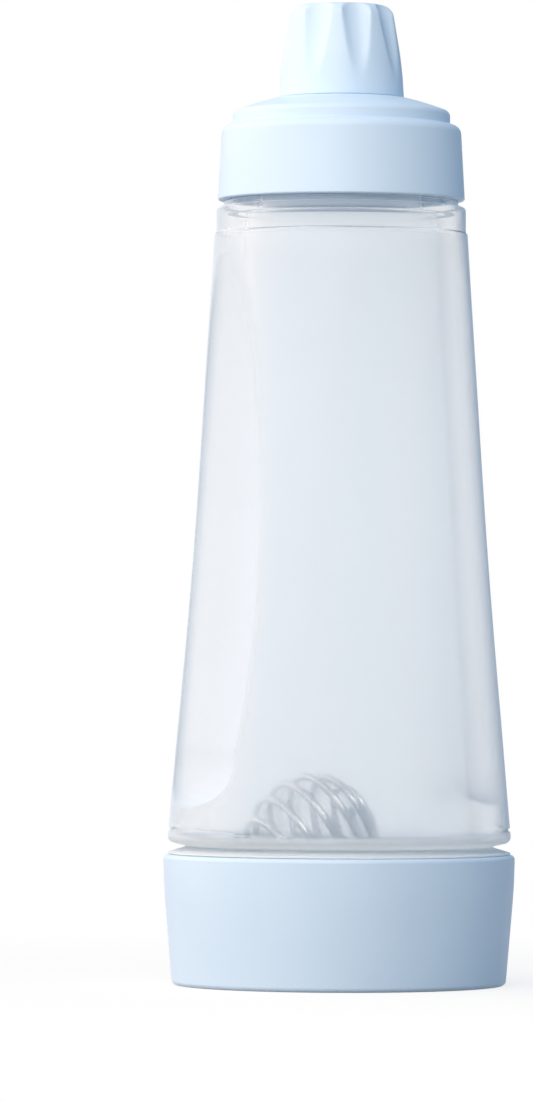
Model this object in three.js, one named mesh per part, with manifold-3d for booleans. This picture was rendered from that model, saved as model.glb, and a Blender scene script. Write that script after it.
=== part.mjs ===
// A squeeze bottle for mixing and pouring batter. It stands on a screw-on base cup, holds a loose
// ball of wound wire, and pours through a silicone nozzle under a fluted screw cap.
// Millimetres, +Z up, origin at the middle of the base cup's foot.
import * as THREE from 'three';
import { mergeVertices } from 'three/addons/utils/BufferGeometryUtils.js';
import Module from 'manifold-3d';

// Shared fits
const SEAT = 0.3; // gap left between two pieces that touch
const RUN = 0.3; // radial gap of a piece that slides in another
const THREAD = 1.1; // height of a thread ridge on a neck
const FACETS = 48; // facets round a turned piece
const SMALL_FACETS = 36; // round a small one
const EDGE = 0.6; // rounding of a moulded edge
const ROUNDING_STEPS = 3; // along each rounding

// Base cup
const BASE_HEIGHT = 37.2;
const BASE_WALL = 6.75; // at the widest, outside the thread
const BASE_TAPER_HEIGHT = 30; // the outside tapers below this height
const BASE_TAPER = 2.5; // lost in radius from there to the foot
const BASE_FOOT_ROUND = 2.2;
const BASE_FOOT_WIDTH = 4; // of the foot's wall, its rounding included
const BASE_RECESS = 15.2; // hollow under the floor
const BASE_FLOOR = 2.5;
const BASE_SEAL_THICKNESS = 2;
const BASE_SEAL_LIP = 1; // how far the seal reaches inside the neck's bore

// Bottle
const BOTTLE_WALL = 2;
const LOWER_NECK_RADIUS = 41.9;
const NECK_SHOW = 1.8; // bare neck between the base cup and the body
const FOOT_OVERHANG = 7.3; // of the body beyond the lower neck
const FOOT_ROUND = 2.8;
const BODY_HEIGHT = 175; // from the body's underside to the step under its top band
const BODY_BOW = 1.2; // how far the flare's control point lies inside a straight taper
const FLARE_STATIONS = 7;
const BAND_HEIGHT = 7.8;
const BAND_STEP = 0.5; // of the body outside the band
const BAND_ROUND = 1.2;
const UPPER_NECK_RADIUS = 31;
const SHOULDER = 4.6; // of the band beyond the upper neck
const PLINTH_WIDTH = 2.4; // ring round the root of the upper neck
const PLINTH_HEIGHT = 1.6;
const LID_GAP = 0.3; // between the plinth and the lid's lower edge
const UPPER_NECK_WALL = 2.2;
const UPPER_NECK_HEIGHT = 17.5; // above the plinth

// Grip recesses, one on each side
const RECESS_TOP_MARGIN = 7; // below the band's step
const RECESS_BOTTOM_MARGIN = 13.2; // above the body's underside
const RECESS_DEPTH = 7; // at the waist
const RECESS_WAIST_DROP = 55; // of the waist below the recess's top
const RECESS_COVE_HEIGHT = 15; // of the rounded lower end
const RECESS_COVE_DEPTH = 6.5; // at the top of that end
const RECESS_TURN_RISE = 38; // above that end, where the floor's slope turns upright
const RECESS_SWEEP = 121; // radius of the hollow across the bottle, at the waist
const RECESS_FACETS = 180; // round that whole sweep
const RECESS_STEPS = 5; // along each of its curves

// Whisk ball
const WHISK_RADIUS = 20.7; // over the wire
const WHISK_WIRE = 2.2;
const WHISK_TURNS = 7.1;
const WHISK_POLE = 10; // degrees left open at each pole
const WHISK_TUCK = 4; // how far the wire's ends turn into the ball
const WHISK_TUCK_TURNS = 0.3;
const WHISK_LEAN = 62.5; // degrees of the winding's axis from upright, towards +X
const WHISK_OFFSET = 8.8; // of the ball from the bottle's axis, towards -X
const LOOP_STEPS = 24;
const WIRE_SIDES = 6;

// Lid
const LID_WALL = 2.9; // at the lower edge
const LID_TAPER = 1.2; // lost in radius from the lower edge to the first tier's top
const LID_TIER_ROUND = 2.6;
const LID_SEAL_THICKNESS = 1.6;
const LID_ROOF = 2.2; // above the seal, up to the first tier's top
const TIER_HEIGHT = 3.7; // second tier's wall
const TIER_ROUND = 1.2;
const DOME_RISE = 3.9;
const DOME_BULGE = 0.3; // of the dome's middle above a straight slope
const DOME_WALL = 2;
const LANDING = 0.8; // flat ring on the dome beyond the nozzle cap's edge
const SPOUT_RADIUS = 12.6;
const SPOUT_HEIGHT = 12.5; // above the landing
const SPOUT_WALL = 2.6;
const SPOUT_LIP = 2.1; // thickness of the ring that holds the nozzle down

// Nozzle and its snap ring
const NOZZLE_BORE = 5.4; // radius at the flange
const NOZZLE_WALL = 1.5;
const NOZZLE_FLANGE_THICKNESS = 1.8;
const NOZZLE_RISE = 9; // of the tapered wall above the flange
const NOZZLE_TAPER = 1.8;
const NOZZLE_CROWN = 2; // height of the domed end
const SLIT_WIDTH = 0.5;
const SLIT_LENGTH = 6;
const RETAINER_HEIGHT = 4;
const RETAINER_WALL = 2.8;

// Nozzle cap
const CAP_WALL = 3.8; // at the lower edge
const CAP_KNEE_HEIGHT = 9.3; // where the side starts to lean in
const CAP_KNEE_TAPER = 0.6;
const CAP_TAPER = 3.5; // lost in radius from the lower edge to the top
const CAP_KNEE_ROUND = 5;
const CAP_TOP_ROUND = 3;
const CAP_ROOF = 3.1;
const PLUG_WALL = 2.4;
const PLUG_ROOF = 1.7;
const PLUG_GRIP = 2.5; // how far the plug reaches down round the nozzle
const FLUTES = 8;
const FLUTE_RADIUS = 6;
const FLUTE_START = 6.8; // height above the cap's edge where a flute runs out
const FLUTE_DEPTH = 2.4; // at the top of the cap
const FLUTE_PHASE = 36; // degrees of the first flute from +X
const FLUTE_OVERRUN = 1; // of the cutter past each end of a flute, in lengths of the flute
const FLUTE_FACETS = 24;

// Heights and radii that follow from the sizes above
const floorZ = BASE_RECESS + BASE_FLOOR;
const baseSealZ = floorZ + SEAT;
const lowerRimZ = baseSealZ + BASE_SEAL_THICKNESS + SEAT;
const bodyZ = BASE_HEIGHT + NECK_SHOW;
const bandZ = bodyZ + BODY_HEIGHT;
const shoulderZ = bandZ + BAND_HEIGHT;
const plinthZ = shoulderZ + PLINTH_HEIGHT;
const upperRimZ = plinthZ + UPPER_NECK_HEIGHT;
const lidSealZ = upperRimZ + SEAT;
const lidSeatZ = lidSealZ + LID_SEAL_THICKNESS + SEAT;
const lidZ = plinthZ + LID_GAP;
const tierZ = lidSeatZ + LID_ROOF;
const domeZ = tierZ + TIER_HEIGHT;
const landingZ = domeZ + DOME_RISE;
const spoutTopZ = landingZ + SPOUT_HEIGHT;
const flangeTopZ = spoutTopZ - SPOUT_LIP - SEAT;
const flangeZ = flangeTopZ - NOZZLE_FLANGE_THICKNESS;
const nozzleShoulderZ = flangeTopZ + NOZZLE_RISE;
const nozzleTopZ = nozzleShoulderZ + NOZZLE_CROWN;
const plugZ = nozzleTopZ + SEAT;
const plugTopZ = plugZ + PLUG_ROOF;
const capZ = landingZ + SEAT;
const capTopZ = plugTopZ + SEAT + CAP_ROOF;

const baseBore = LOWER_NECK_RADIUS + THREAD + RUN;
const baseRadius = baseBore + BASE_WALL;
const lowerBore = LOWER_NECK_RADIUS - BOTTLE_WALL;
const footRadius = LOWER_NECK_RADIUS + FOOT_OVERHANG;
const bandRadius = UPPER_NECK_RADIUS + SHOULDER;
const bodyTopRadius = bandRadius + BAND_STEP;
const upperBore = UPPER_NECK_RADIUS - UPPER_NECK_WALL;
const lidBore = UPPER_NECK_RADIUS + THREAD + RUN;
const lidRadius = lidBore + LID_WALL;
const tierRadius = UPPER_NECK_RADIUS;
const spoutBore = SPOUT_RADIUS - SPOUT_WALL;
const nozzleRoot = NOZZLE_BORE + NOZZLE_WALL;
const flangeRadius = spoutBore - RUN;
const capBore = SPOUT_RADIUS + THREAD + RUN;
const capRadius = capBore + CAP_WALL;
const plugRadius = nozzleRoot - NOZZLE_TAPER + RUN + PLUG_WALL;

const wasm = await Module();
wasm.setup();

// A closed mesh with its shared corners merged, as a solid that can be cut.
function solid(geometry) {
  const shell = geometry.clone();
  shell.deleteAttribute('normal');
  shell.deleteAttribute('uv');
  const merged = mergeVertices(shell);
  const triVerts = new Uint32Array(merged.index.array);
  const vertProperties = new Float32Array(merged.attributes.position.array);
  return new wasm.Manifold(new wasm.Mesh({ numProp: 3, vertProperties, triVerts }));
}

// A solid back as a geometry.
function geometryOf(body) {
  const mesh = body.getMesh();
  const geometry = new THREE.BufferGeometry();
  geometry.setAttribute('position', new THREE.BufferAttribute(mesh.vertProperties, 3));
  geometry.setIndex(new THREE.BufferAttribute(mesh.triVerts, 1));
  return geometry;
}

// Points of an outline through corners [radius, height, rounding], each rounding a short curve.
function outline(corners) {
  const last = corners.length - 1;
  const path = new THREE.Path();
  corners.forEach(([radius, height, rounding = 0], index) => {
    const corner = new THREE.Vector2(radius, height);
    if (index === 0) path.moveTo(radius, height);
    else if (index === last || rounding === 0) path.lineTo(radius, height);
    else {
      const before = new THREE.Vector2(...corners[index - 1]).sub(corner).setLength(rounding).add(corner);
      const after = new THREE.Vector2(...corners[index + 1]).sub(corner).setLength(rounding).add(corner);
      path.lineTo(before.x, before.y);
      path.quadraticCurveTo(corner.x, corner.y, after.x, after.y);
    }
  });
  return path.getPoints(ROUNDING_STEPS);
}

// An outline turned about +Z. It runs up the outside and down the inside.
function turned(corners, facets = FACETS) {
  return new THREE.LatheGeometry(outline(corners), facets).rotateX(Math.PI / 2);
}

// The same for a ring, whose outline closes on its first corner.
function ring(corners, facets = FACETS) {
  return turned([...corners, corners[0]], facets);
}

const group = new THREE.Group();

function add(name, geometry, colour, roughness, metalness = 0) {
  const material = new THREE.MeshStandardMaterial({ color: colour, roughness, metalness });
  const mesh = new THREE.Mesh(geometry, material);
  mesh.name = name;
  group.add(mesh);
}

const PALE_BLUE = 0xcadcee;
const FROSTED = 0xe2eaf2;
const SILICONE = 0xeef1f3;
const STEEL = 0xb9bcc0;

// Base cup: a thick-walled cup that screws on to the lower neck, hollow under its floor.
function baseCap() {
  const rimRadius = baseRadius - BASE_TAPER;
  const recessRadius = rimRadius - BASE_FOOT_WIDTH;
  return turned([
    [0, BASE_RECESS],
    [recessRadius, BASE_RECESS, BASE_FOOT_ROUND],
    [recessRadius, 0],
    [rimRadius, 0, BASE_FOOT_ROUND],
    [baseRadius, BASE_TAPER_HEIGHT],
    [baseRadius, BASE_HEIGHT, EDGE],
    [baseBore, BASE_HEIGHT, EDGE],
    [baseBore, floorZ],
    [0, floorZ],
  ]);
}

// Flat silicone ring under the lower neck's rim.
function baseSeal() {
  return ring([
    [lowerBore - BASE_SEAL_LIP, baseSealZ],
    [baseBore - RUN, baseSealZ],
    [baseBore - RUN, baseSealZ + BASE_SEAL_THICKNESS],
    [lowerBore - BASE_SEAL_LIP, baseSealZ + BASE_SEAL_THICKNESS],
  ]);
}

// Radius of the body's slightly bowed flare at a height.
function bodyRadius(height) {
  const share = (height - bodyZ) / BODY_HEIGHT;
  const straight = THREE.MathUtils.lerp(footRadius, bodyTopRadius, share);
  return straight - 2 * BODY_BOW * share * (1 - share);
}

// Stations up the flare, above the rounded foot, moved in by a wall.
function flare(inset) {
  const first = bodyZ + FOOT_ROUND;
  const stations = [];
  for (let index = 0; index <= FLARE_STATIONS; index++) {
    const height = THREE.MathUtils.lerp(first, bandZ, index / FLARE_STATIONS);
    stations.push([bodyRadius(height) - inset, height]);
  }
  return stations;
}

// One grip recess as a turned cutter standing beside the bottle, on the side given by its sign.
// Its own outline is the recess's floor, so the leaf-shaped edge is where the two rounds meet.
function recessCutter(side, inset) {
  const topZ = bandZ - RECESS_TOP_MARGIN;
  const bottomZ = bodyZ + RECESS_BOTTOM_MARGIN;
  const waistZ = topZ - RECESS_WAIST_DROP;
  const coveZ = bottomZ + RECESS_COVE_HEIGHT;
  const waist = bodyRadius(waistZ) - RECESS_DEPTH;
  const cove = bodyRadius(coveZ) - RECESS_COVE_DEPTH;
  const axis = waist + RECESS_SWEEP;
  const reach = (floor) => axis - floor + inset;
  const past = BOTTLE_WALL;
  const path = new THREE.Path();
  path.moveTo(0, bottomZ - past);
  path.lineTo(reach(bodyRadius(bottomZ) + past), bottomZ - past);
  path.quadraticCurveTo(reach(cove), bottomZ + past, reach(cove), coveZ);
  path.quadraticCurveTo(reach(waist), coveZ + RECESS_TURN_RISE, reach(waist), waistZ);
  path.quadraticCurveTo(reach(waist), (waistZ + topZ) / 2, reach(bodyRadius(topZ)), topZ);
  path.lineTo(0, topZ);
  const cutter = new THREE.LatheGeometry(path.getPoints(RECESS_STEPS), RECESS_FACETS);
  return cutter.rotateX(Math.PI / 2).translate(side * axis, 0, 0);
}

// Bottle: a flared body between two necks, with the same wall behind its grip recesses.
function bottle() {
  let outside = solid(turned([
    [0, lowerRimZ],
    [LOWER_NECK_RADIUS, lowerRimZ, EDGE],
    [LOWER_NECK_RADIUS, bodyZ],
    [bodyRadius(bodyZ), bodyZ, FOOT_ROUND],
    ...flare(0),
    [bandRadius, bandZ + BAND_STEP],
    [bandRadius, shoulderZ, BAND_ROUND],
    [UPPER_NECK_RADIUS + PLINTH_WIDTH, shoulderZ],
    [UPPER_NECK_RADIUS + PLINTH_WIDTH, plinthZ],
    [UPPER_NECK_RADIUS, plinthZ],
    [UPPER_NECK_RADIUS, upperRimZ, EDGE],
    [0, upperRimZ],
  ]));
  let inside = solid(turned([
    [0, lowerRimZ - BOTTLE_WALL],
    [lowerBore, lowerRimZ - BOTTLE_WALL],
    [lowerBore, bodyZ + BOTTLE_WALL],
    [bodyRadius(bodyZ) - BOTTLE_WALL, bodyZ + BOTTLE_WALL],
    ...flare(BOTTLE_WALL).slice(1),
    [bandRadius - BOTTLE_WALL, bandZ + BAND_STEP],
    [bandRadius - BOTTLE_WALL, shoulderZ - BOTTLE_WALL],
    [upperBore, shoulderZ - BOTTLE_WALL],
    [upperBore, upperRimZ + BOTTLE_WALL],
    [0, upperRimZ + BOTTLE_WALL],
  ]));
  for (const side of [-1, 1]) {
    outside = outside.subtract(solid(recessCutter(side, 0)));
    inside = inside.subtract(solid(recessCutter(side, BOTTLE_WALL)));
  }
  return geometryOf(outside.subtract(inside));
}

// Middle of the wire at a share of its length: a spiral from pole to pole of a sphere, whose two
// ends turn in towards the centre.
function wirePoint(share) {
  const pole = THREE.MathUtils.degToRad(WHISK_POLE);
  const polar = THREE.MathUtils.lerp(Math.PI - pole, pole, share);
  const turn = 2 * Math.PI * WHISK_TURNS * share;
  const toEnd = Math.min(share, 1 - share) * WHISK_TURNS;
  const tuck = WHISK_TUCK * Math.max(0, 1 - toEnd / WHISK_TUCK_TURNS) ** 2;
  const radius = WHISK_RADIUS - WHISK_WIRE / 2 - tuck;
  return new THREE.Vector3().setFromSphericalCoords(radius, polar, turn).applyAxisAngle(
    new THREE.Vector3(1, 0, 0), Math.PI / 2);
}

// Least gap between two loops of the wire, measured between points on its middle line.
function leastGap(points) {
  let least = Infinity;
  for (let first = 0; first < points.length; first++) {
    for (let second = first + LOOP_STEPS / 2; second < points.length; second++) {
      least = Math.min(least, points[first].distanceTo(points[second]));
    }
  }
  return least - WHISK_WIRE;
}

// Whisk ball: one wire, as rings of corners joined along the spiral and closed at both ends.
function whiskBall() {
  const steps = Math.round(WHISK_TURNS * LOOP_STEPS);
  const points = [];
  for (let step = 0; step <= steps; step++) points.push(wirePoint(step / steps));
  console.log(`whisk ball: least gap between loops ${leastGap(points).toFixed(2)} mm`);

  const corners = [];
  const faces = [];
  points.forEach((point, step) => {
    const ahead = points[Math.min(step + 1, steps)];
    const behind = points[Math.max(step - 1, 0)];
    const along = ahead.clone().sub(behind).normalize();
    const across = along.clone().cross(point).normalize();
    const outward = across.clone().cross(along);
    for (let side = 0; side < WIRE_SIDES; side++) {
      const angle = 2 * Math.PI * side / WIRE_SIDES;
      corners.push(point.clone()
        .addScaledVector(outward, Math.cos(angle) * WHISK_WIRE / 2)
        .addScaledVector(across, Math.sin(angle) * WHISK_WIRE / 2));
    }
  });
  for (let step = 0; step < steps; step++) {
    for (let side = 0; side < WIRE_SIDES; side++) {
      const next = (side + 1) % WIRE_SIDES;
      const here = step * WIRE_SIDES;
      const there = here + WIRE_SIDES;
      faces.push(here + side, here + next, there + side, here + next, there + next, there + side);
    }
  }
  for (let side = 1; side < WIRE_SIDES - 1; side++) {
    const end = steps * WIRE_SIDES;
    faces.push(0, side + 1, side, end, end + side, end + side + 1);
  }
  const geometry = new THREE.BufferGeometry().setFromPoints(corners);
  geometry.setIndex(faces);
  geometry.rotateY(THREE.MathUtils.degToRad(WHISK_LEAN));
  geometry.computeBoundingBox();
  return geometry.translate(-WHISK_OFFSET, 0, floorZ + SEAT - geometry.boundingBox.min.z);
}

// Flat silicone ring on the upper neck's rim.
function lidSeal() {
  return ring([
    [upperBore, lidSealZ],
    [lidBore - RUN, lidSealZ],
    [lidBore - RUN, lidSealZ + LID_SEAL_THICKNESS],
    [upperBore, lidSealZ + LID_SEAL_THICKNESS],
  ]);
}

// Lid: a two-tier screw lid whose dome carries the spout.
function lid() {
  const innerTier = tierRadius - DOME_WALL;
  const landingRadius = capRadius + LANDING;
  const middle = (tierRadius + landingRadius) / 2;
  const middleZ = (domeZ + landingZ) / 2 + DOME_BULGE;
  return ring([
    [lidBore, lidZ],
    [lidRadius, lidZ, EDGE],
    [lidRadius - LID_TAPER, tierZ, LID_TIER_ROUND],
    [tierRadius, tierZ],
    [tierRadius, domeZ, TIER_ROUND],
    [middle, middleZ, TIER_ROUND],
    [landingRadius, landingZ],
    [SPOUT_RADIUS, landingZ],
    [SPOUT_RADIUS, spoutTopZ, EDGE],
    [nozzleRoot + RUN, spoutTopZ, EDGE],
    [nozzleRoot + RUN, spoutTopZ - SPOUT_LIP],
    [spoutBore, spoutTopZ - SPOUT_LIP],
    [spoutBore, landingZ - DOME_WALL],
    [landingRadius, landingZ - DOME_WALL],
    [innerTier, domeZ - DOME_WALL],
    [innerTier, lidSeatZ],
    [lidBore, lidSeatZ],
  ]);
}

// Nozzle: a soft thimble on a flange, slit crosswise through its crown.
function nozzle() {
  const tipRadius = nozzleRoot - NOZZLE_TAPER;
  const thimble = solid(turned([
    [0, nozzleTopZ - NOZZLE_WALL],
    [tipRadius - NOZZLE_WALL, nozzleShoulderZ - NOZZLE_WALL / 2, NOZZLE_WALL / 2],
    [NOZZLE_BORE, flangeZ],
    [flangeRadius, flangeZ],
    [flangeRadius, flangeTopZ],
    [nozzleRoot, flangeTopZ],
    [tipRadius, nozzleShoulderZ, NOZZLE_CROWN],
    [0, nozzleTopZ],
  ], SMALL_FACETS));
  const slitHeight = nozzleTopZ - nozzleShoulderZ + 2 * NOZZLE_WALL;
  const along = new THREE.BoxGeometry(SLIT_LENGTH, SLIT_WIDTH, slitHeight).translate(0, 0, nozzleTopZ);
  const across = new THREE.BoxGeometry(SLIT_WIDTH, SLIT_LENGTH, slitHeight).translate(0, 0, nozzleTopZ);
  return geometryOf(thimble.subtract(solid(along)).subtract(solid(across)));
}

// Snap ring that holds the nozzle's flange up against the spout's lip.
function nozzleRetainer() {
  const topZ = flangeZ - SEAT;
  return ring([
    [spoutBore - RUN - RETAINER_WALL, topZ - RETAINER_HEIGHT],
    [spoutBore - RUN, topZ - RETAINER_HEIGHT, EDGE],
    [spoutBore - RUN, topZ],
    [spoutBore - RUN - RETAINER_WALL, topZ],
  ], SMALL_FACETS);
}

// Silicone plug in the cap's roof, a small cup over the nozzle's slit end.
function capSeal() {
  const gripZ = nozzleTopZ - PLUG_GRIP;
  return turned([
    [0, plugZ],
    [plugRadius - PLUG_WALL, plugZ],
    [plugRadius - PLUG_WALL, gripZ],
    [plugRadius, gripZ],
    [plugRadius, plugTopZ, EDGE],
    [0, plugTopZ],
  ], SMALL_FACETS);
}

// Nozzle cap: a thimble-shaped screw cap, fluted by leaning round cutters.
function nozzleCap() {
  const topRadius = capRadius - CAP_TAPER;
  let body = solid(turned([
    [0, plugTopZ + SEAT],
    [plugRadius + RUN, plugTopZ + SEAT],
    [plugRadius + RUN, spoutTopZ + SEAT],
    [capBore, spoutTopZ + SEAT],
    [capBore, capZ],
    [capRadius, capZ, EDGE],
    [capRadius - CAP_KNEE_TAPER, capZ + CAP_KNEE_HEIGHT, CAP_KNEE_ROUND],
    [topRadius, capTopZ, CAP_TOP_ROUND],
    [0, capTopZ],
  ]));
  const startRadius = capRadius - CAP_KNEE_TAPER * FLUTE_START / CAP_KNEE_HEIGHT;
  const low = new THREE.Vector3(startRadius + FLUTE_RADIUS, 0, capZ + FLUTE_START);
  const high = new THREE.Vector3(topRadius - FLUTE_DEPTH + FLUTE_RADIUS, 0, capTopZ);
  const lean = high.clone().sub(low);
  const cutterLength = (1 + 2 * FLUTE_OVERRUN) * lean.length();
  const upright = new THREE.Vector3(0, 1, 0);
  for (let flute = 0; flute < FLUTES; flute++) {
    const angle = THREE.MathUtils.degToRad(FLUTE_PHASE) + 2 * Math.PI * flute / FLUTES;
    const cutter = new THREE.CylinderGeometry(FLUTE_RADIUS, FLUTE_RADIUS, cutterLength, FLUTE_FACETS);
    cutter.applyQuaternion(new THREE.Quaternion().setFromUnitVectors(upright, lean.clone().normalize()));
    cutter.translate(low.x, low.y, low.z).rotateZ(angle);
    body = body.subtract(solid(cutter));
  }
  return geometryOf(body);
}

add('base_cap', baseCap(), PALE_BLUE, 0.5);
add('base_seal', baseSeal(), SILICONE, 0.6);
add('bottle', bottle(), FROSTED, 0.6);
add('whisk_ball', whiskBall(), STEEL, 0.25, 1);
add('lid_seal', lidSeal(), SILICONE, 0.6);
add('lid', lid(), PALE_BLUE, 0.5);
add('nozzle', nozzle(), SILICONE, 0.6);
add('nozzle_retainer', nozzleRetainer(), PALE_BLUE, 0.5);
add('cap_seal', capSeal(), SILICONE, 0.6);
add('nozzle_cap', nozzleCap(), PALE_BLUE, 0.5);

export default group;
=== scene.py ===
# A squeeze bottle for mixing and pouring batter, as it stands in its photograph: frosted bottle,
# pale blue base cup, lid and fluted nozzle cap, and a loose ball of wound wire inside.
# Metres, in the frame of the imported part; the pieces follow in the order of assembly, from the foot up.
from math import acos, atan2, ceil, cos, hypot, pi, radians, sin, sqrt

import bmesh
import bpy
from mathutils import Matrix, Vector
from mathutils.geometry import interpolate_bezier


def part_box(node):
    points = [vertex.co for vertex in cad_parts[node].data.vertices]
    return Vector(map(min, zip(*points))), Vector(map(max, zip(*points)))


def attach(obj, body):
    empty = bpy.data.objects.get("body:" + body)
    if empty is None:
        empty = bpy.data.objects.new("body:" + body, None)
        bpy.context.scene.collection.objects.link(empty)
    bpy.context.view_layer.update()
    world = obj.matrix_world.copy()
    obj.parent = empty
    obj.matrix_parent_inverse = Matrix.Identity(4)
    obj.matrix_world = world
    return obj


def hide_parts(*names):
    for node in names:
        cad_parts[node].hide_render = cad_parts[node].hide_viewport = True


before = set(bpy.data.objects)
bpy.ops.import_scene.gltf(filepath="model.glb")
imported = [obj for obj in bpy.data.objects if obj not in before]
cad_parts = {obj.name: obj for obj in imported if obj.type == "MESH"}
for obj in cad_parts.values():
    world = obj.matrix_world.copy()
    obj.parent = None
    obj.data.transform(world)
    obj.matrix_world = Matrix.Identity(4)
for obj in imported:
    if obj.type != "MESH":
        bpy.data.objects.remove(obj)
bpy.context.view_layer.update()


# Camera: a long lens about two metres off, at the height of the lower third of the bottle. It is
# aimed left of the axis and a little above its own height, which puts the object right of the middle.
camera_turn = radians(-26)
camera_roll = radians(0.2)
camera_distance = 1.95
camera_height = 0.0954
aim_height = 0.1236
aim_left = 0.0210
photo_height = 1102
pixels_per_metre = 3505
sensor_height = 36

towards_camera = Vector((sin(camera_turn), -cos(camera_turn), 0))
camera_right = Vector((cos(camera_turn), sin(camera_turn), 0))
camera_data = bpy.data.cameras.new("camera")
camera_data.sensor_fit = "VERTICAL"
camera_data.sensor_height = sensor_height
camera_data.lens = sensor_height * pixels_per_metre * camera_distance / photo_height
camera = bpy.data.objects.new("camera", camera_data)
camera.location = towards_camera * camera_distance + Vector((0, 0, camera_height))
aim = Vector((0, 0, aim_height)) - camera_right * aim_left
sight = (aim - camera.location).to_track_quat("-Z", "Y").to_matrix()
camera.rotation_euler = (sight @ Matrix.Rotation(camera_roll, 3, "Z")).to_euler()
bpy.context.scene.collection.objects.link(camera)
bpy.context.scene.camera = camera
bpy.context.scene.view_settings.view_transform = "Standard"


# Studio: a white sweep, plain white to the camera, through clear plastic and in glancing reflections.
# Its light is a warm glow from the left, a low cool light from the right and one soft window in front.
class Value:
    """A shader socket that takes part in Python arithmetic; each operation adds a Math node."""

    def __init__(self, nodes, socket):
        self.nodes = nodes
        self.socket = socket

    def math(self, operation, first, second):
        return self.nodes.node("ShaderNodeMath", {"operation": operation}, {0: first, 1: second})

    def __add__(self, other):
        return self.math("ADD", self, other)

    def __radd__(self, other):
        return self.math("ADD", other, self)

    def __sub__(self, other):
        return self.math("SUBTRACT", self, other)

    def __rsub__(self, other):
        return self.math("SUBTRACT", other, self)

    def __mul__(self, other):
        return self.math("MULTIPLY", self, other)

    def __rmul__(self, other):
        return self.math("MULTIPLY", other, self)


class Nodes:
    """The node tree of a material or of the world, emptied and then built up node by node."""

    def __init__(self, owner):
        owner.use_nodes = True
        self.tree = owner.node_tree
        self.tree.nodes.clear()

    def node(self, kind, settings=None, sockets=None, output=0):
        """Adds a node, sets it up, feeds its sockets and returns one of its outputs."""
        made = self.tree.nodes.new(kind)
        for name, setting in (settings or {}).items():
            setattr(made, name, setting)
        for name, value in (sockets or {}).items():
            if isinstance(value, Value):
                self.tree.links.new(value.socket, made.inputs[name])
            else:
                made.inputs[name].default_value = value
        return Value(self, made.outputs[output]) if made.outputs else None

    def light_path(self, kind):
        return self.node("ShaderNodeLightPath", output=kind)

    def along(self, direction, axis):
        """How far a direction points along an axis, from -1 to 1."""
        return self.node(
            "ShaderNodeVectorMath", {"operation": "DOT_PRODUCT"}, {0: direction, 1: axis}, output="Value")

    def smooth_step(self, value, start, end, low=0.0, high=1.0):
        """Goes softly from low to high while the value goes from start to end."""
        return self.node("ShaderNodeMapRange", {"interpolation_type": "SMOOTHSTEP"}, {
            "Value": value, "From Min": start, "From Max": end, "To Min": low, "To Max": high})

    def within_one(self, value):
        return self.node("ShaderNodeClamp", {}, {"Value": value})


white = (1, 1, 1, 1)
lit_side = (2.84, 2.46, 2.22, 1)
shaded_side = (0.24, 0.36, 0.50, 1)
glow_narrowness = 4
world = bpy.data.worlds.new("studio")
bpy.context.scene.world = world
sky = Nodes(world)
direction = sky.node("ShaderNodeTexCoord", output="Generated")
facing = sky.along(direction, -camera_right)
leftness = sky.node("ShaderNodeMath", {"operation": "POWER"}, {0: 0.5 + 0.5 * facing, 1: glow_narrowness})
dome_colour = sky.node("ShaderNodeMix", {"data_type": "RGBA"}, {
    "Factor": leftness, "A": shaded_side, "B": lit_side}, output="Result")
direct = sky.light_path("Is Camera Ray")
through = sky.light_path("Is Transmission Ray")
mirrored = sky.light_path("Is Glossy Ray")
bounced = sky.light_path("Diffuse Depth") + sky.light_path("Glossy Depth")
straight = sky.within_one(1 - bounced)
behind = sky.smooth_step(sky.along(direction, -towards_camera), start=0.93, end=0.98)
seen = sky.within_one(direct + through * straight + mirrored * behind)
dome = sky.node("ShaderNodeBackground", {}, {"Color": dome_colour, "Strength": 1.0})
backdrop = sky.node("ShaderNodeBackground", {}, {"Color": white, "Strength": 1.0})
studio = sky.node("ShaderNodeMixShader", {}, {0: seen, 1: dome, 2: backdrop})
sky.node("ShaderNodeOutputWorld", {}, {"Surface": studio})

floor_size = 8
floor_shadow = 0.22
floor_shadow_start = 0.05
floor_shadow_end = 0.4
floor_grid = bmesh.new()
bmesh.ops.create_grid(floor_grid, x_segments=1, y_segments=1, size=floor_size / 2)
floor_mesh = bpy.data.meshes.new("floor")
floor_grid.to_mesh(floor_mesh)
floor_grid.free()
floor = bpy.data.objects.new("floor", floor_mesh)
bpy.context.scene.collection.objects.link(floor)

paper = bpy.data.materials.new("white_paper")
sheet = Nodes(paper)
spot = sheet.node("ShaderNodeTexCoord", output="Object")
distance = sheet.node("ShaderNodeVectorMath", {"operation": "LENGTH"}, {0: spot}, output="Value")
far = sheet.smooth_step(distance, floor_shadow_start, floor_shadow_end, low=1 - floor_shadow)
direct = sheet.light_path("Is Camera Ray")
glossy = sheet.light_path("Is Glossy Ray")
through = sheet.light_path("Is Transmission Ray")
looked_at = sheet.within_one(direct + glossy + through)
near_paper = sheet.node("ShaderNodeBsdfDiffuse", {}, {"Color": (0.95, 0.95, 0.95, 1)})
plain_white = sheet.node("ShaderNodeEmission", {}, {"Color": white, "Strength": 1.0})
seen_paper = sheet.node("ShaderNodeMixShader", {}, {0: far, 1: near_paper, 2: plain_white})
dim_paper = sheet.node("ShaderNodeBsdfDiffuse", {}, {"Color": (0.42, 0.42, 0.42, 1)})
paper_look = sheet.node("ShaderNodeMixShader", {}, {0: looked_at, 1: dim_paper, 2: seen_paper})
sheet.node("ShaderNodeOutputMaterial", {}, {"Surface": paper_look})
floor_mesh.materials.append(paper)

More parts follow.
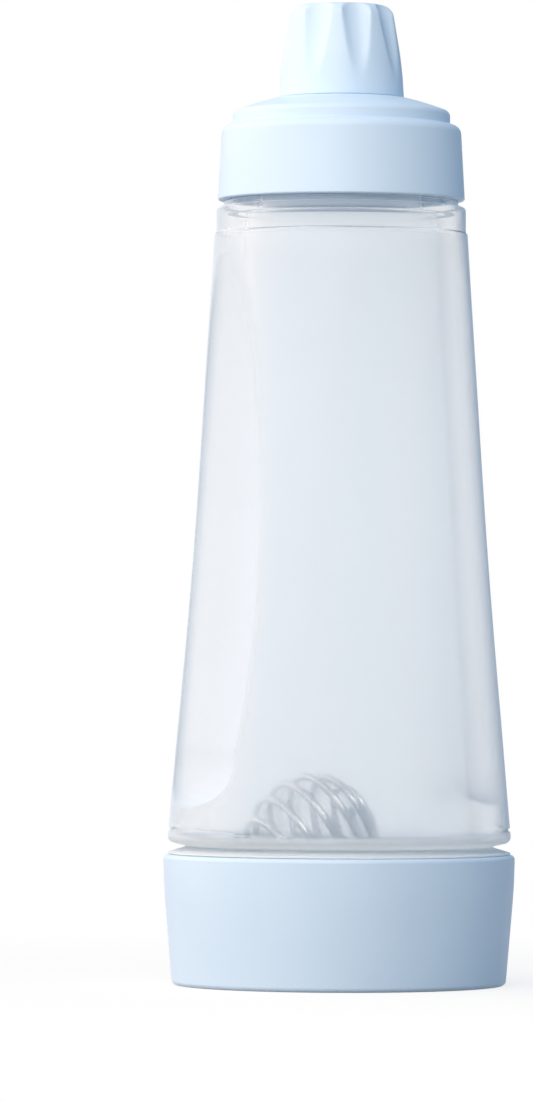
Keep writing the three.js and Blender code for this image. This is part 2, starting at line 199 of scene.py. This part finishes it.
window_turn = camera_turn - radians(10)
window_height = 0.75
window_distance = 0.85
window_light = bpy.data.lights.new("front_window", "AREA")
window_light.size = 0.5
window_light.energy = 5.6
window_light.color = (1.0, 0.86, 0.71)
window = bpy.data.objects.new("front_window", window_light)
window.location = Vector((sin(window_turn), -cos(window_turn), 0)) * window_distance
window.location.z = window_height
window_aim = Vector((0, 0, aim_height)) - window.location
window.rotation_euler = window_aim.to_track_quat("-Z", "Y").to_euler()
bpy.context.scene.collection.objects.link(window)


# Base cup: a thick-walled moulding in matte pale blue polypropylene, hollow under its floor. It
# screws on to the bottle's wide lower neck, closes the filling mouth and is the foot of the object.
def rounded(corners, steps=6):
    """Points of an outline through corners (radius, height, rounding), each rounding a short curve."""
    round_share = 0.552
    points = []
    for index, (radius, height, rounding) in enumerate(corners):
        corner = Vector((radius, height, 0))
        if rounding == 0:
            points.append(corner)
            continue
        before = Vector((*corners[index - 1][:2], 0))
        after = Vector((*corners[(index + 1) % len(corners)][:2], 0))
        start = corner + (before - corner).normalized() * rounding
        end = corner + (after - corner).normalized() * rounding
        points += interpolate_bezier(
            start, start.lerp(corner, round_share), end.lerp(corner, round_share), end, steps + 1)
    return points


def turned(outline, around, closed):
    """A bmesh spun once round the bottle's axis from an outline that runs up outside and down inside."""
    bm = bmesh.new()
    corners = [bm.verts.new((point.x, 0, point.y)) for point in outline]
    edges = [bm.edges.new(pair) for pair in zip(corners, corners[1:])]
    if closed:
        edges.append(bm.edges.new((corners[-1], corners[0])))
    bmesh.ops.spin(
        bm, geom=corners + edges, cent=(0, 0, 0), axis=(0, 0, 1), angle=2 * pi, steps=around, use_merge=True)
    bmesh.ops.remove_doubles(bm, verts=bm.verts, dist=1e-6)
    bmesh.ops.recalc_face_normals(bm, faces=bm.faces)
    return bm


thread_lead = 0.012
thread_starts = 3
thread_pitch = thread_lead / thread_starts
thread_depth = 0.001
thread_bite = 0.0002
thread_flank = ((0.0, 0.001), (0.75, 0.00055), (1.0, 0.0002))
thread_run_out = 0.08
thread_end_share = 0.12
thread_steps_a_turn = 72
neck_thread_turns = 0.85


def add_thread(bm, radius, low, turns, inside=False):
    """Adds right-hand ridges that run out at both ends, round a neck or on the inside of a bore.

    The flank lists shares of a ridge's depth, each with half the ridge's width there.
    """
    outward = -1 if inside else 1
    root = radius - outward * thread_bite
    steps = round(thread_steps_a_turn * turns)
    for start in range(thread_starts):
        rings = []
        for step in range(steps + 1):
            share = step / steps
            turn = 2 * pi * (start / thread_starts + turns * share)
            height = low + thread_lead * turns * share
            full = max(thread_end_share, min(1, share / thread_run_out, (1 - share) / thread_run_out))
            ridge = outward * (thread_depth + thread_bite) * full
            profile = [(root + part * ridge, -half) for part, half in thread_flank]
            profile += [(root + part * ridge, half) for part, half in reversed(thread_flank)]
            rings.append([
                bm.verts.new((reach * cos(turn), reach * sin(turn), height + off)) for reach, off in profile])
        for ring, following in zip(rings, rings[1:]):
            for corner in range(len(ring)):
                bm.faces.new((ring[corner - 1], ring[corner], following[corner], following[corner - 1]))
        bm.faces.new(rings[0])
        bm.faces.new(rings[-1])
    bmesh.ops.recalc_face_normals(bm, faces=bm.faces)


def finished(name, bm, *finishes):
    """The bmesh as a smooth-shaded piece with its finishes, sharp only at its steepest edges."""
    sharp_from = radians(40)
    mesh = bpy.data.meshes.new(name)
    bm.to_mesh(mesh)
    bm.free()
    for finish in finishes:
        mesh.materials.append(finish)
    mesh.shade_smooth()
    mesh.set_sharp_from_angle(angle=sharp_from)
    piece = bpy.data.objects.new(name, mesh)
    bpy.context.scene.collection.objects.link(piece)
    shading = piece.modifiers.new("even_shading", "WEIGHTED_NORMAL")
    shading.keep_sharp = True
    return piece


def noise(finish, scale, detail):
    """Noise of a scale in the piece's own coordinates."""
    place = finish.node("ShaderNodeTexCoord", output="Object")
    return finish.node("ShaderNodeTexNoise", {}, {"Vector": place, "Scale": scale, "Detail": detail})


def clouded(finish, clouds, dark, pale):
    """A colour that varies softly between two with a noise."""
    ramp = finish.node("ShaderNodeValToRGB", {}, {0: clouds})
    dark_stop, pale_stop = ramp.socket.node.color_ramp.elements
    dark_stop.position = 0.3
    dark_stop.color = (*dark, 1)
    pale_stop.position = 0.7
    pale_stop.color = (*pale, 1)
    return ramp


def rough_skin(finish, grain, strength, distance=0.0002):
    """A normal that is roughened by a grain."""
    return finish.node(
        "ShaderNodeBump", {}, {"Strength": strength, "Distance": distance, "Height": grain})


def pale_blue_plastic():
    """Matte moulded polypropylene: a spark-eroded grain, faint clouding and slightly uneven gloss."""
    material = bpy.data.materials.new("pale_blue_plastic")
    finish = Nodes(material)
    clouds = noise(finish, scale=30, detail=2)
    grain = noise(finish, scale=1900, detail=3)
    wiped = noise(finish, scale=160, detail=4)
    surface = finish.node("ShaderNodeBsdfPrincipled", {}, {
        "Base Color": clouded(finish, clouds, dark=(0.62, 0.78, 0.935), pale=(0.65, 0.81, 0.965)),
        "Roughness": 0.4 + 0.12 * wiped,
        "Specular IOR Level": 0.3,
        "Normal": rough_skin(finish, grain, strength=0.12)})
    finish.node("ShaderNodeOutputMaterial", {}, {"Surface": surface})
    return material


pale_blue = pale_blue_plastic()
base_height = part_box("base_cap")[1].z
base_radius = 0.05005
base_bore = 0.0433
base_taper = 0.0025
base_taper_height = 0.030
base_foot_round = 0.0014
base_floor = 0.0177
base_hollow = 0.0152
base_foot_width = 0.004
base_hollow_radius = base_radius - base_taper - base_foot_width
base_thread = 0.0242

base_outline = rounded([
    (0, base_hollow, 0),
    (base_hollow_radius, base_hollow, 0.0022),
    (base_hollow_radius, 0, 0.0006),
    (base_radius - base_taper, 0, base_foot_round),
    (base_radius, base_taper_height, 0.006),
    (base_radius, base_height, 0.0013),
    (base_bore, base_height, 0.0007),
    (base_bore, base_floor, 0.0006),
    (0, base_floor, 0),
])
base_mesh = turned(base_outline, around=160, closed=False)
add_thread(base_mesh, base_bore, base_thread, neck_thread_turns, inside=True)
base_cup = finished("base_cup", base_mesh, pale_blue)
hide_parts("base_cap")
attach(base_cup, "base")


# Base gasket: a flat ring of milky silicone that lies on the cup's floor; the bottle's lower rim
# presses into it when the cup is screwed tight.
def milky_silicone():
    """Soft translucent rubber with a dusty, slightly uneven surface."""
    material = bpy.data.materials.new("milky_silicone")
    finish = Nodes(material)
    clouds = noise(finish, scale=220, detail=3)
    dust = noise(finish, scale=2400, detail=2)
    surface = finish.node("ShaderNodeBsdfPrincipled", {}, {
        "Base Color": clouded(finish, clouds, dark=(0.80, 0.82, 0.83), pale=(0.87, 0.88, 0.88)),
        "Roughness": 0.45 + 0.2 * dust,
        "Transmission Weight": 0.25,
        "IOR": 1.41,
        "Normal": rough_skin(finish, dust, strength=0.1)})
    finish.node("ShaderNodeOutputMaterial", {}, {"Surface": surface})
    return material


silicone = milky_silicone()
base_seal_low, base_seal_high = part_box("base_seal")
base_seal_inner = 0.0389
base_seal_outer = base_seal_high.x
base_gasket = finished("base_gasket", turned(rounded([
    (base_seal_inner, base_seal_low.z, 0.0004),
    (base_seal_outer, base_seal_low.z, 0.0004),
    (base_seal_outer, base_seal_high.z, 0.0004),
    (base_seal_inner, base_seal_high.z, 0.0004),
], steps=3), around=120, closed=True), silicone)
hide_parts("base_seal")
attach(base_gasket, "base_gasket")


# Bottle: blow-moulded frosted squeeze plastic, flared towards its foot, with a leaf-shaped hollow
# for the fingers on each side and a threaded neck at both ends. A V-shaped groove parts its foot from
# a thin skirt that lies on the cup's rim.
def frosted_plastic():
    """The outside: milky plastic, milkier in the recesses, clearer at the band, solid white at its foot."""
    material = bpy.data.materials.new("frosted_plastic")
    finish = Nodes(material)
    clouds = noise(finish, scale=26, detail=3)
    grain = noise(finish, scale=1500, detail=3)
    wiped = noise(finish, scale=90, detail=4)
    place = finish.node("ShaderNodeTexCoord", output="Object")
    height = finish.node("ShaderNodeSeparateXYZ", {}, {0: place}, output="Z")
    band = finish.smooth_step(height, start=0.2125, end=0.2150, high=0.08)
    stretched = finish.node("ShaderNodeAttribute", {"attribute_name": "stretched"}, output="Fac")
    edge_on = finish.node("ShaderNodeLayerWeight", {}, {"Blend": 0.5}, output="Facing")
    glancing = finish.smooth_step(edge_on, start=0.52, end=0.96)
    clear = 0.69 - 0.13 * stretched + band
    milk = finish.node("ShaderNodeBsdfPrincipled", {}, {
        "Base Color": clouded(finish, clouds, dark=(0.69, 0.79, 0.89), pale=(0.71, 0.81, 0.91)),
        "Roughness": 0.3 + 0.06 * wiped,
        "Alpha": 1 - clear * (1 - glancing),
        "IOR": 1.45,
        "Normal": rough_skin(finish, grain, strength=0.08)})
    thick = finish.smooth_step(height, start=0.0405, end=0.0440, low=0.95, high=0.0)
    foot_white = (0.96, 0.99, 1.0, 1)
    lit_outside = finish.node("ShaderNodeBsdfDiffuse", {}, {"Color": foot_white})
    lit_through = finish.node("ShaderNodeBsdfTranslucent", {}, {"Color": foot_white})
    solid = finish.node("ShaderNodeMixShader", {}, {0: 0.5, 1: lit_outside, 2: lit_through})
    surface = finish.node("ShaderNodeMixShader", {}, {0: thick, 1: milk, 2: solid})
    finish.node("ShaderNodeOutputMaterial", {}, {"Surface": surface})
    return material


def frosted_inside():
    """The inside: etched by the mould's core, so that things behind it look soft; smooth in the recesses."""
    material = bpy.data.materials.new("frosted_inside")
    finish = Nodes(material)
    wiped = noise(finish, scale=120, detail=4)
    edge_on = finish.node("ShaderNodeLayerWeight", {}, {"Blend": 0.5}, output="Facing")
    stretched = finish.node("ShaderNodeAttribute", {"attribute_name": "stretched"}, output="Fac")
    etched = finish.smooth_step(edge_on, start=0.15, end=0.6, low=1.0, high=0.0) * (1 - 0.8 * stretched)
    layers = []
    for roughness, bending in ((0.38, 1.25), (0.1, 1.1)):
        layers.append(finish.node("ShaderNodeBsdfPrincipled", {}, {
            "Base Color": (0.94, 0.975, 1.0, 1),
            "Roughness": roughness + 0.06 * wiped,
            "Transmission Weight": 1.0,
            "IOR": bending,
            "Alpha": etched}))
    haze, clear = layers
    surface = finish.node("ShaderNodeMixShader", {}, {0: 0.3, 1: haze, 2: clear})
    finish.node("ShaderNodeOutputMaterial", {}, {"Surface": surface})
    return material


frosted = frosted_plastic()
bottle_low, bottle_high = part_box("bottle")
bottle_wall = 0.002
lower_neck = 0.0419
body_foot = 0.039
body_foot_radius = 0.0492
foot_edge = 0.0409
foot_edge_round = 0.0016
waist_radius = 0.0432
waist_height = 0.0395
skirt_radius = 0.0488
skirt_low = 0.0374
skirt_edge = 0.0004
band_height = 0.214
band_step = 0.0005
body_top_radius = 0.0361
body_bow = 0.0012
band_radius = 0.0356
shoulder = 0.2218
plinth_radius = 0.0334
plinth_top = 0.2234
upper_neck = 0.031
upper_bore = 0.0288
upper_thread = 0.2275

press_low = foot_edge + bottle_wall + 0.001
recess_top = 0.207
recess_bottom = 0.0522
recess_cove_top = 0.0672
recess_cove_depth = 0.0065
recess_turn = 0.1052
recess_waist = 0.152
recess_waist_depth = 0.007
recess_sweep = 0.121
recess_edge_round = 0.0009
recess_least_edge = radians(9)
recess_steps = 39
full_stretch = 0.003


def body_radius(height):
    """Radius of the slightly bowed flare at a height."""
    share = (height - body_foot) / (band_height - body_foot)
    flare = body_foot_radius + (body_top_radius - body_foot_radius) * share
    return flare - 2 * body_bow * share * (1 - share)


recess_cove_radius = body_radius(recess_cove_top) - recess_cove_depth
recess_waist_radius = body_radius(recess_waist) - recess_waist_depth
recess_axis = recess_waist_radius + recess_sweep
recess_curve = []
for start, bend, end in (
    ((body_radius(recess_bottom) + bottle_wall, recess_bottom - bottle_wall),
     (recess_cove_radius, recess_bottom + bottle_wall),
     (recess_cove_radius, recess_cove_top)),
    ((recess_cove_radius, recess_cove_top),
     (recess_waist_radius, recess_turn),
     (recess_waist_radius, recess_waist)),
    ((recess_waist_radius, recess_waist),
     (recess_waist_radius, (recess_waist + recess_top) / 2),
     (body_radius(recess_top), recess_top)),
):
    for step in range(recess_steps + 1):
        share = step / recess_steps
        towards_bend = Vector(start).lerp(Vector(bend), share)
        towards_end = Vector(bend).lerp(Vector(end), share)
        recess_curve.append(towards_bend.lerp(towards_end, share))


def recess_floor(height):
    """Distance of the recess's deepest line from the bottle's axis at a height, or None beyond it."""
    for low, high in zip(recess_curve, recess_curve[1:]):
        if low.y <= height <= high.y and high.y > low.y:
            return low.x + (high.x - low.x) * (height - low.y) / (high.y - low.y)
    return None


def softer_least(first, second, width):
    """The lesser of two radii, with the edge where they cross rounded over a width."""
    mix = min(1, max(0, 0.5 + 0.5 * (second - first) / width))
    return second + (first - second) * mix - width * mix * (1 - mix)


def press_recesses(bm, columns_to_edge, columns):
    """Moves the flared body's vertices in to the two grip recesses and notes where it stretches."""
    stretched = bm.verts.layers.float.new("stretched")
    edge_column = columns_to_edge * 2 * pi / columns
    margin = 1e-6
    floors = {}
    for vert in bm.verts:
        height = vert.co.z
        if not press_low - margin <= height <= band_height + margin:
            continue
        key = round(height, 7)
        if key not in floors:
            floors[key] = recess_floor(height)
        floor_radius = floors[key]
        radius = hypot(vert.co.x, vert.co.y)
        inset = 0 if radius > body_radius(height) - bottle_wall / 2 else bottle_wall
        skin = body_radius(height) - inset
        side = 1 if vert.co.x >= 0 else -1
        angle = atan2(vert.co.y, abs(vert.co.x))
        sweep = recess_axis - floor_radius + inset if floor_radius else 0
        meet = (recess_axis ** 2 + skin ** 2 - sweep ** 2) / (2 * recess_axis * skin)
        edge = recess_least_edge
        if floor_radius and meet < 1:
            edge = max(edge, acos(meet))
        if abs(angle) <= edge_column:
            angle *= edge / edge_column
        else:
            past = (abs(angle) - edge_column) / (pi / 2 - edge_column)
            angle = (edge + past * (pi / 2 - edge)) * (1 if angle > 0 else -1)
        radius = skin
        reach = sweep ** 2 - (recess_axis * sin(angle)) ** 2
        if floor_radius and reach > 0:
            hollow = recess_axis * cos(angle) - sqrt(reach)
            radius = softer_least(skin, hollow, recess_edge_round)
            vert[stretched] = min(1, (skin - radius) / full_stretch)
        vert.co.x = side * radius * cos(angle)
        vert.co.y = radius * sin(angle)


def stations(low, high, count):
    """Evenly spaced heights, both ends included."""
    return [low + (high - low) * step / count for step in range(count + 1)]


# The rings of the outside lie closer together where the recesses begin and end.
outer_heights = [foot_edge + foot_edge_round]
for high, count in ((0.050, 6), (0.060, 20), (0.198, 92), (0.208, 18), (band_height, 4)):
    outer_heights += stations(outer_heights[-1], high, count)[1:]
inner_heights = stations(press_low, band_height, 60)

bottle_outline = rounded([
    (lower_neck - bottle_wall, bottle_low.z, 0.0005),
    (lower_neck, bottle_low.z, 0.0006),
    (lower_neck, skirt_low, 0.0003),
    (skirt_radius, skirt_low, 0.0001),
    (skirt_radius, skirt_low + skirt_edge, 0.0002),
    (waist_radius, waist_height, 0.0009),
    (body_radius(foot_edge), foot_edge, foot_edge_round),
    *[(body_radius(height), height, 0) for height in outer_heights],
    (band_radius, band_height + band_step, 0.0002),
    (band_radius, shoulder, 0.0012),
    (plinth_radius, shoulder, 0.0003),
    (plinth_radius, plinth_top, 0.0004),
    (upper_neck, plinth_top, 0.0004),
    (upper_neck, bottle_high.z, 0.0006),
    (upper_bore, bottle_high.z, 0.0005),
    (upper_bore, shoulder - bottle_wall, 0.001),
    (band_radius - bottle_wall, shoulder - bottle_wall, 0.0015),
    (band_radius - bottle_wall, band_height + band_step, 0.0002),
    *[(body_radius(height) - bottle_wall, height, 0) for height in reversed(inner_heights)],
    (body_radius(foot_edge) - bottle_wall, foot_edge + bottle_wall, 0.0007),
    (lower_neck - bottle_wall, waist_height + bottle_wall, 0.001),
])
bottle_columns = 240
inside_facing = -0.2
bottle_mesh = turned(bottle_outline, bottle_columns, closed=True)
press_recesses(bottle_mesh, columns_to_edge=21, columns=bottle_columns)
bottle_mesh.normal_update()
for face in bottle_mesh.faces:
    middle = face.calc_center_median()
    outward = face.normal.dot(Vector((middle.x, middle.y, 0)).normalized())
    face.material_index = 1 if outward < inside_facing else 0
add_thread(bottle_mesh, lower_neck, base_thread - thread_pitch / 2, neck_thread_turns)
add_thread(bottle_mesh, upper_neck, upper_thread, neck_thread_turns)
bottle = finished("frosted_bottle", bottle_mesh, frosted, frosted_inside())
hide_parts("bottle")
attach(bottle, "bottle")


# Whisk ball: one bright stainless wire wound into an open ball from pole to pole, its two ends
# turned in. It lies loose on the cup's floor and beats the batter when the bottle is shaken.
def drawn_steel():
    """Bright drawn wire with fine, uneven die marks."""
    material = bpy.data.materials.new("drawn_steel")
    finish = Nodes(material)
    marks = noise(finish, scale=1200, detail=3)
    smears = noise(finish, scale=140, detail=2)
    surface = finish.node("ShaderNodeBsdfPrincipled", {}, {
        "Base Color": clouded(finish, smears, dark=(0.56, 0.58, 0.60), pale=(0.66, 0.68, 0.70)),
        "Metallic": 1.0,
        "Roughness": 0.1 + 0.1 * marks,
        "Normal": rough_skin(finish, marks, strength=0.05, distance=0.0001)})
    finish.node("ShaderNodeOutputMaterial", {}, {"Surface": surface})
    return material


steel = drawn_steel()
whisk_radius = 0.0216
whisk_wire = 0.0022
whisk_turns = 7.84
whisk_start = radians(-10.5)
whisk_pole = radians(11.2)
whisk_tuck = 0.004
whisk_tuck_turns = 0.3
whisk_lean = radians(66.1)
whisk_offset = 0.0097
whisk_steps_a_turn = 60


def wire_point(share):
    """Middle of the wire at a share of its length, round the ball's own upright axis."""
    polar = pi - whisk_pole + (2 * whisk_pole - pi) * share
    turn = whisk_start + 2 * pi * whisk_turns * share
    to_end = min(share, 1 - share) * whisk_turns
    tuck = whisk_tuck * max(0, 1 - to_end / whisk_tuck_turns) ** 2
    radius = whisk_radius - whisk_wire / 2 - tuck
    across = radius * sin(polar)
    return Vector((across * sin(turn), -across * cos(turn), radius * cos(polar)))


whisk_line = bpy.data.curves.new("whisk_line", "CURVE")
whisk_line.dimensions = "3D"
whisk_line.bevel_depth = whisk_wire / 2
whisk_line.bevel_resolution = 4
whisk_line.use_fill_caps = True
whisk_steps = round(whisk_turns * whisk_steps_a_turn)
wire = whisk_line.splines.new("POLY")
wire.points.add(whisk_steps)
for step, point in enumerate(wire.points):
    point.co = (*wire_point(step / whisk_steps), 1)
whisk_curve = bpy.data.objects.new("whisk_line", whisk_line)
bpy.context.scene.collection.objects.link(whisk_curve)
depsgraph = bpy.context.evaluated_depsgraph_get()
whisk_tube = bpy.data.meshes.new_from_object(whisk_curve.evaluated_get(depsgraph))
bpy.data.objects.remove(whisk_curve)
whisk_mesh = bmesh.new()
whisk_mesh.from_mesh(whisk_tube)
bpy.data.meshes.remove(whisk_tube)
bmesh.ops.remove_doubles(whisk_mesh, verts=whisk_mesh.verts, dist=1e-7)
bmesh.ops.recalc_face_normals(whisk_mesh, faces=whisk_mesh.faces)
leaning = Matrix.Rotation(whisk_lean, 3, "Y")
bmesh.ops.rotate(whisk_mesh, verts=whisk_mesh.verts, cent=(0, 0, 0), matrix=leaning)
whisk_low = min(vert.co.z for vert in whisk_mesh.verts)
whisk_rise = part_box("whisk_ball")[0].z - whisk_low
bmesh.ops.translate(whisk_mesh, verts=whisk_mesh.verts, vec=(-whisk_offset, 0, whisk_rise))
whisk = finished("wire_whisk_ball", whisk_mesh, steel)
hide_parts("whisk_ball")
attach(whisk, "whisk")


# Lid gasket: a second flat silicone ring, between the upper neck's rim and the lid.
lid_seal_low, lid_seal_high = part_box("lid_seal")
lid_gasket = finished("lid_gasket", turned(rounded([
    (upper_bore, lid_seal_low.z, 0.0003),
    (lid_seal_high.x, lid_seal_low.z, 0.0003),
    (lid_seal_high.x, lid_seal_high.z, 0.0003),
    (upper_bore, lid_seal_high.z, 0.0003),
], steps=3), around=120, closed=True), silicone)
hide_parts("lid_seal")
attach(lid_gasket, "lid_gasket")


# Lid: a two-tier screw lid moulded in one with its low dome and spout, in the same pale blue
# plastic as the base cup. Its skirt covers the bottle's upper neck.
lid_low, lid_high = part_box("lid")
lid_bore = 0.0324
lid_radius = lid_high.x
lid_taper = 0.0012
lid_tier = 0.2453
lid_seat = 0.2431
tier_radius = 0.031
dome_foot = 0.249
dome_bulge = 0.0003
dome_wall = 0.002
landing = 0.2529
landing_radius = 0.0186
spout_radius = 0.0126
spout_bore = 0.010
spout_lip = 0.0021
spout_hole = 0.0072
spout_thread = 0.2568
spout_thread_turns = 0.55
dome_middle = (tier_radius + landing_radius) / 2

lid_outline = rounded([
    (lid_bore, lid_low.z, 0.0004),
    (lid_radius, lid_low.z, 0.0006),
    (lid_radius - lid_taper, lid_tier, 0.0026),
    (tier_radius, lid_tier, 0.0004),
    (tier_radius, dome_foot, 0.0012),
    (dome_middle, (dome_foot + landing) / 2 + dome_bulge, 0.003),
    (landing_radius, landing, 0.0004),
    (spout_radius, landing, 0.0004),
    (spout_radius, lid_high.z, 0.0006),
    (spout_hole, lid_high.z, 0.0006),
    (spout_hole, lid_high.z - spout_lip, 0.0002),
    (spout_bore, lid_high.z - spout_lip, 0.0002),
    (spout_bore, landing - dome_wall, 0.0006),
    (landing_radius, landing - dome_wall, 0.001),
    (tier_radius - dome_wall, dome_foot - dome_wall, 0.001),
    (tier_radius - dome_wall, lid_seat, 0.0003),
    (lid_bore, lid_seat, 0.0004),
])
lid_mesh = turned(lid_outline, around=160, closed=True)
add_thread(lid_mesh, lid_bore, upper_thread - thread_pitch / 2, neck_thread_turns, inside=True)
add_thread(lid_mesh, spout_radius, spout_thread, spout_thread_turns)
lid = finished("two_tier_lid", lid_mesh, pale_blue)
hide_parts("lid")
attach(lid, "lid")


# Nozzle: a soft silicone tip, pushed up through the spout's lip from below until its flange stops
# it. Two crossed slits in its crown stay shut until squeezed batter parts their lips.
nozzle_low, nozzle_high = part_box("nozzle")
nozzle_flange = nozzle_high.x
nozzle_flange_top = 0.263
nozzle_root = 0.0069
nozzle_tip = 0.0051
nozzle_shoulder = 0.272
nozzle_bore = 0.0054
nozzle_wall = 0.0015
slit_length = 0.006
slit_width = 0.0005
blade_height = 4 * nozzle_wall

nozzle_mesh = turned(rounded([
    (0, nozzle_high.z - nozzle_wall, 0),
    (nozzle_tip - nozzle_wall, nozzle_shoulder - nozzle_wall / 2, 0.0007),
    (nozzle_bore, nozzle_low.z, 0.0003),
    (nozzle_flange, nozzle_low.z, 0.0005),
    (nozzle_flange, nozzle_flange_top, 0.0005),
    (nozzle_root, nozzle_flange_top, 0.0005),
    (nozzle_tip, nozzle_shoulder, 0.0018),
    (0, nozzle_high.z, 0),
]), around=96, closed=False)
nozzle = finished("slit_nozzle", nozzle_mesh, silicone)
for name, size in (("slit", (slit_length, slit_width)), ("cross_slit", (slit_width, slit_length))):
    blade_mesh = bmesh.new()
    bmesh.ops.create_cube(blade_mesh, size=1, matrix=Matrix.LocRotScale(
        (0, 0, nozzle_high.z), None, (*size, blade_height)))
    blade = finished(name, blade_mesh)
    cut = nozzle.modifiers.new(name, "BOOLEAN")
    cut.object = blade
    cut.solver = "EXACT"
    depsgraph = bpy.context.evaluated_depsgraph_get()
    slit_mesh = bpy.data.meshes.new_from_object(nozzle.evaluated_get(depsgraph))
    nozzle.modifiers.remove(cut)
    nozzle.data = slit_mesh
    bpy.data.objects.remove(blade)
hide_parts("nozzle")
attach(nozzle, "lid")


# Nozzle retainer: a plain snap ring in the lid's blue plastic, pressed into the spout from below; it
# holds the nozzle's flange up against the spout's lip.
retainer_low, retainer_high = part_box("nozzle_retainer")
retainer_inner = 0.0069
retainer = finished("nozzle_retainer_ring", turned(rounded([
    (retainer_inner, retainer_low.z, 0.0004),
    (retainer_high.x, retainer_low.z, 0.0006),
    (retainer_high.x, retainer_high.z, 0.0003),
    (retainer_inner, retainer_high.z, 0.0003),
], steps=4), around=96, closed=True), pale_blue)
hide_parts("nozzle_retainer")
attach(retainer, "lid")


# Cap plug: a little silicone cup pressed into the nozzle cap's roof; its rim grips the nozzle and
# its floor shuts the slits when the cap is screwed down.
plug_low, plug_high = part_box("cap_seal")
plug_inner = 0.0054
plug_floor = 0.2743
plug = finished("cap_plug_cup", turned(rounded([
    (0, plug_floor, 0),
    (plug_inner, plug_floor, 0.0004),
    (plug_inner, plug_low.z, 0.0004),
    (plug_high.x, plug_low.z, 0.0004),
    (plug_high.x, plug_high.z, 0.0006),
    (0, plug_high.z, 0),
], steps=4), around=96, closed=False), silicone)
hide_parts("cap_seal")
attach(plug, "cap_plug")


# Nozzle cap: a thimble-shaped screw cap over the spout, moulded in the same pale blue plastic, with
# eight scalloped flutes round its top for the fingertips.
cap_low, cap_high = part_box("nozzle_cap")
cap_radius = 0.0178
cap_bore = 0.014
cap_taper = 0.0006
cap_foot = cap_low.z - 0.0002
cap_knee = cap_low.z + 0.0093
cap_knee_radius = cap_radius - cap_taper
cap_top_radius = cap_radius - 0.0035
cap_roof = 0.2763
cap_plug_bore = 0.0081
cap_thread_top = 0.2657
flute_count = 8
flute_radius = 0.006
flute_start = cap_low.z + 0.0068
flute_start_radius = cap_radius - cap_taper * (flute_start - cap_low.z) / (cap_knee - cap_low.z)
flute_depth = 0.0024
flute_lowest = cap_low.z + 0.001
flute_phase = radians(36)
flute_edge_round = 0.0005


def finer(outline, longest):
    """The same outline with points added, so that no step along it is longer than that."""
    points = []
    for start, end in zip(outline, outline[1:]):
        parts = max(1, ceil((end - start).length / longest))
        points += [start.lerp(end, part / parts) for part in range(parts)]
    return points + [outline[-1]]


cap_outline = finer(rounded([
    (0, cap_roof, 0),
    (cap_plug_bore, cap_roof, 0.0004),
    (cap_plug_bore, cap_thread_top, 0.0004),
    (cap_bore, cap_thread_top, 0.0004),
    (cap_bore, cap_foot, 0.0004),
    (cap_radius, cap_foot, 0.0003),
    (cap_knee_radius, cap_knee, 0.005),
    (cap_top_radius, cap_high.z, 0.003),
    (0, cap_high.z, 0),
], steps=12), longest=0.0005)


def cut_flutes(bm):
    """Moves the cap's outside in to the near walls of leaning round rods, one for each flute."""
    margin = 1e-6
    pitch = 2 * pi / flute_count
    lean = (cap_top_radius - flute_depth - flute_start_radius) / (cap_high.z - flute_start)
    across = flute_radius * sqrt(1 + lean ** 2)
    for vert in bm.verts:
        radius = hypot(vert.co.x, vert.co.y)
        within = radius <= cap_bore + margin and vert.co.z < cap_roof
        if within or radius < cap_bore / 2 or vert.co.z < flute_lowest:
            continue
        turn = atan2(vert.co.y, vert.co.x)
        off = turn - round(turn / pitch) * pitch
        middle = flute_start_radius + flute_radius + lean * (vert.co.z - flute_start)
        a = (cos(off) / across) ** 2 + (sin(off) / flute_radius) ** 2
        b = -2 * middle * cos(off) / across ** 2
        c = (middle / across) ** 2 - 1
        reach = b * b - 4 * a * c
        if reach <= 0:
            continue
        hollow = (-b - sqrt(reach)) / (2 * a)
        cut = softer_least(radius, hollow, flute_edge_round)
        vert.co.x *= cut / radius
        vert.co.y *= cut / radius


cap_mesh = turned(cap_outline, around=192, closed=False)
cut_flutes(cap_mesh)
turning = Matrix.Rotation(flute_phase, 3, "Z")
bmesh.ops.rotate(cap_mesh, verts=cap_mesh.verts, cent=(0, 0, 0), matrix=turning)
add_thread(cap_mesh, cap_bore, spout_thread - thread_pitch / 2, spout_thread_turns, inside=True)
nozzle_cap = finished("fluted_cap", cap_mesh, pale_blue)
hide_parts("nozzle_cap")
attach(nozzle_cap, "nozzle_cap")
